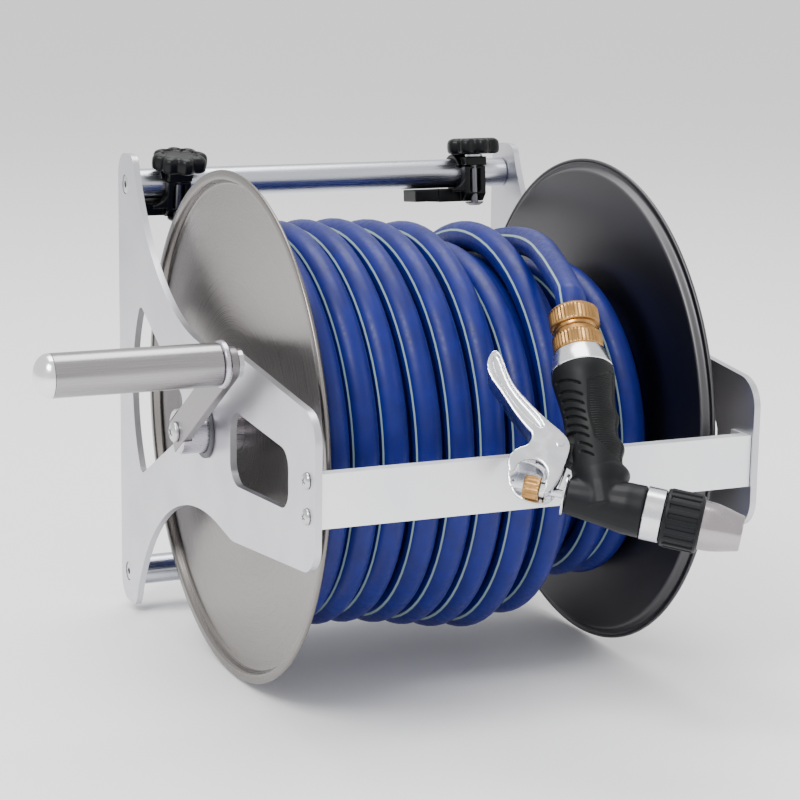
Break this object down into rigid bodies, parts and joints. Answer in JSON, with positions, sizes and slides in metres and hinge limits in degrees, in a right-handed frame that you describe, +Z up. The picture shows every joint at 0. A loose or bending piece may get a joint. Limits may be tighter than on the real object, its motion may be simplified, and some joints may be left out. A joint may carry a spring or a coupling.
{
  "type": "hose reel",
  "caption": "Metal hose reel with crank, wound garden hose, parked spray gun, swivel water inlet and two pipe clamps on its top tube.",
  "frame": {"origin": "middle of the top tube's axis", "axes": "+X along the drum's axle from the crank to the water inlet, +Y to the rear edges of the side plates, +Z up"},
  "size_m": [0.4243, 0.4332, 0.3023],
  "materials": {
    "satin_aluminium": "satin",
    "brushed_stainless": "circular brushed",
    "anodised_tube": "satin anodised",
    "bar_sheet": "satin",
    "zinc_screw": "zinc plated",
    "polished_steel": "fine brushed",
    "black_nylon": "matt",
    "blue_hose": "smooth, lightly glossy",
    "clamp_plastic": "fine grained",
    "brass": "turned",
    "chrome": "bright plated",
    "grip_rubber": "matt, grooved",
    "gun_enamel": "satin black",
    "satin_ring": "satin turned"
  },
  "bodies": {
    "frame": {"left_side_plate": "satin_aluminium", "right_side_plate": "satin_aluminium", "top_tube": "anodised_tube", "bottom_tube": "anodised_tube", "top_tube_screw_left": "zinc_screw", "top_tube_screw_right": "zinc_screw", "bottom_tube_screw_left": "zinc_screw", "bottom_tube_screw_right": "zinc_screw", "front_bar": "bar_sheet", "upper_bar_screw_left": "zinc_screw", "upper_bar_screw_right": "zinc_screw", "lower_bar_screw_left": "zinc_screw", "lower_bar_screw_right": "zinc_screw", "left_bushing": "black_nylon", "right_bushing": "black_nylon", "hose_tail": "blue_hose", "hose_coupling_nut": "brass", "gun_body": "gun_enamel", "grip_sleeve": "grip_rubber", "grip_ring": "satin_ring", "barrel_ring": "satin_ring", "gland_ring": "chrome", "trigger_pin": "chrome"},
    "drum": {"left_disc": "brushed_stainless", "right_disc": "brushed_stainless", "drum_barrel": "brushed_stainless", "left_barrel_plug": "black_nylon", "right_barrel_plug": "black_nylon", "main_axle": "polished_steel", "hose_core": "blue_hose", "hose_winding": "blue_hose", "hose_low_turns": "blue_hose", "crank_arm": "polished_steel", "crank_screw": "zinc_screw", "grip_spindle": "zinc_screw"},
    "grip": {"crank_grip": "polished_steel", "grip_cap": "satin_ring", "grip_collar": "polished_steel"},
    "inlet": {"inlet_elbow": "brass", "inlet_adapter": "brass"},
    "hose_swivel": {"hose_swivel_nut": "brass"},
    "trigger_lever": {"trigger": "chrome"},
    "stem": {"valve_stem": "chrome"},
    "stem_nut": {"adjusting_nut": "brass"},
    "spray_ring": {"nozzle_ring": "gun_enamel"},
    "spray_tip": {"nozzle_tip": "satin_ring"},
    "left_clamp": {"left_clamp_base": "clamp_plastic", "left_clamp_cap": "clamp_plastic", "left_clamp_pin": "zinc_screw", "left_clamp_bolt": "zinc_screw"},
    "left_thrust_washer": {"left_washer": "zinc_screw"},
    "left_star_knob": {"left_knob": "clamp_plastic"},
    "right_clamp": {"right_clamp_base": "clamp_plastic", "right_clamp_cap": "clamp_plastic", "right_clamp_pin": "zinc_screw", "right_clamp_bolt": "zinc_screw", "right_clamp_end_block": "clamp_plastic"},
    "right_thrust_washer": {"right_washer": "zinc_screw"},
    "right_star_knob": {"right_knob": "clamp_plastic"}
  },
  "joints": [
    {"name": "drum_turn", "type": "hinge", "parent": "frame", "child": "drum", "pos_m": [0, -0.15, -0.1264], "axis": [1, 0, 0], "continuous": true, "deforming": ["hose_tail"]},
    {"name": "grip_spin", "type": "hinge", "parent": "drum", "child": "grip", "pos_m": [0, -0.23432, -0.0708], "axis": [1, 0, 0], "continuous": true},
    {"name": "inlet_swivel", "type": "hinge", "parent": "frame", "child": "inlet", "pos_m": [0.15, -0.15, -0.1264], "axis": [1, 0, 0], "continuous": true},
    {"name": "hose_swivel_turn", "type": "hinge", "parent": "frame", "child": "hose_swivel", "pos_m": [0.00968, -0.36517, -0.13216], "axis": [0.1518, 0.6127, 0.7756], "continuous": true},
    {"name": "trigger_squeeze", "type": "hinge", "parent": "frame", "child": "trigger_lever", "pos_m": [-0.00143, -0.33745, -0.10771], "axis": [0.3666, 0.6938, -0.6199], "range_deg": [0, 16], "stiffness_Nm_per_rad": 0.4, "springref_deg": -11.46},
    {"name": "stem_pull", "type": "slide", "parent": "frame", "child": "stem", "axis": [-0.8066, 0.569, 0.1599], "range_m": [0, 0.0085]},
    {"name": "stem_nut_turn", "type": "hinge", "parent": "stem", "child": "stem_nut", "pos_m": [0.0117, -0.366, -0.1319], "axis": [0.8066, -0.569, -0.1599], "range_deg": [-180, 180]},
    {"name": "spray_ring_turn", "type": "hinge", "parent": "frame", "child": "spray_ring", "pos_m": [0.0117, -0.366, -0.1319], "axis": [0.8066, -0.569, -0.1599], "range_deg": [0, 270]},
    {"name": "spray_tip_slide", "type": "slide", "parent": "frame", "child": "spray_tip", "axis": [0.8066, -0.569, -0.1599], "range_m": [0, 0.003]},
    {"name": "left_clamp_turn", "type": "hinge", "parent": "frame", "child": "left_clamp", "pos_m": [-0.1035, 0, 0], "axis": [1, 0, 0], "continuous": true},
    {"name": "left_knob_rise", "type": "slide", "parent": "left_clamp", "child": "left_thrust_washer", "axis": [0, -0.1736, 0.9848], "range_m": [0, 0.00159]},
    {"name": "left_knob_turn", "type": "hinge", "parent": "left_thrust_washer", "child": "left_star_knob", "pos_m": [-0.1035, -0.01251, -0.0022], "axis": [0, -0.1736, 0.9848], "range_deg": [0, 720]},
    {"name": "right_clamp_turn", "type": "hinge", "parent": "frame", "child": "right_clamp", "pos_m": [0.1035, 0, 0], "axis": [1, 0, 0], "continuous": true},
    {"name": "right_knob_rise", "type": "slide", "parent": "right_clamp", "child": "right_thrust_washer", "axis": [0, 0.1045, 0.9945], "range_m": [0, 0.00159]},
    {"name": "right_knob_turn", "type": "hinge", "parent": "right_thrust_washer", "child": "right_star_knob", "pos_m": [0.1035, -0.01263, 0.00133], "axis": [0, 0.1045, 0.9945], "range_deg": [0, 720]}
  ],
  "couplings": [
    {"joint": "stem_pull", "follows": "trigger_squeeze", "m_per_rad": 0.03},
    {"joint": "spray_ring_turn", "follows": "spray_tip_slide", "rad_per_m": 1562.5},
    {"joint": "left_knob_turn", "follows": "left_knob_rise", "rad_per_m": 7854},
    {"joint": "right_knob_turn", "follows": "right_knob_rise", "rad_per_m": 7854}
  ]
}
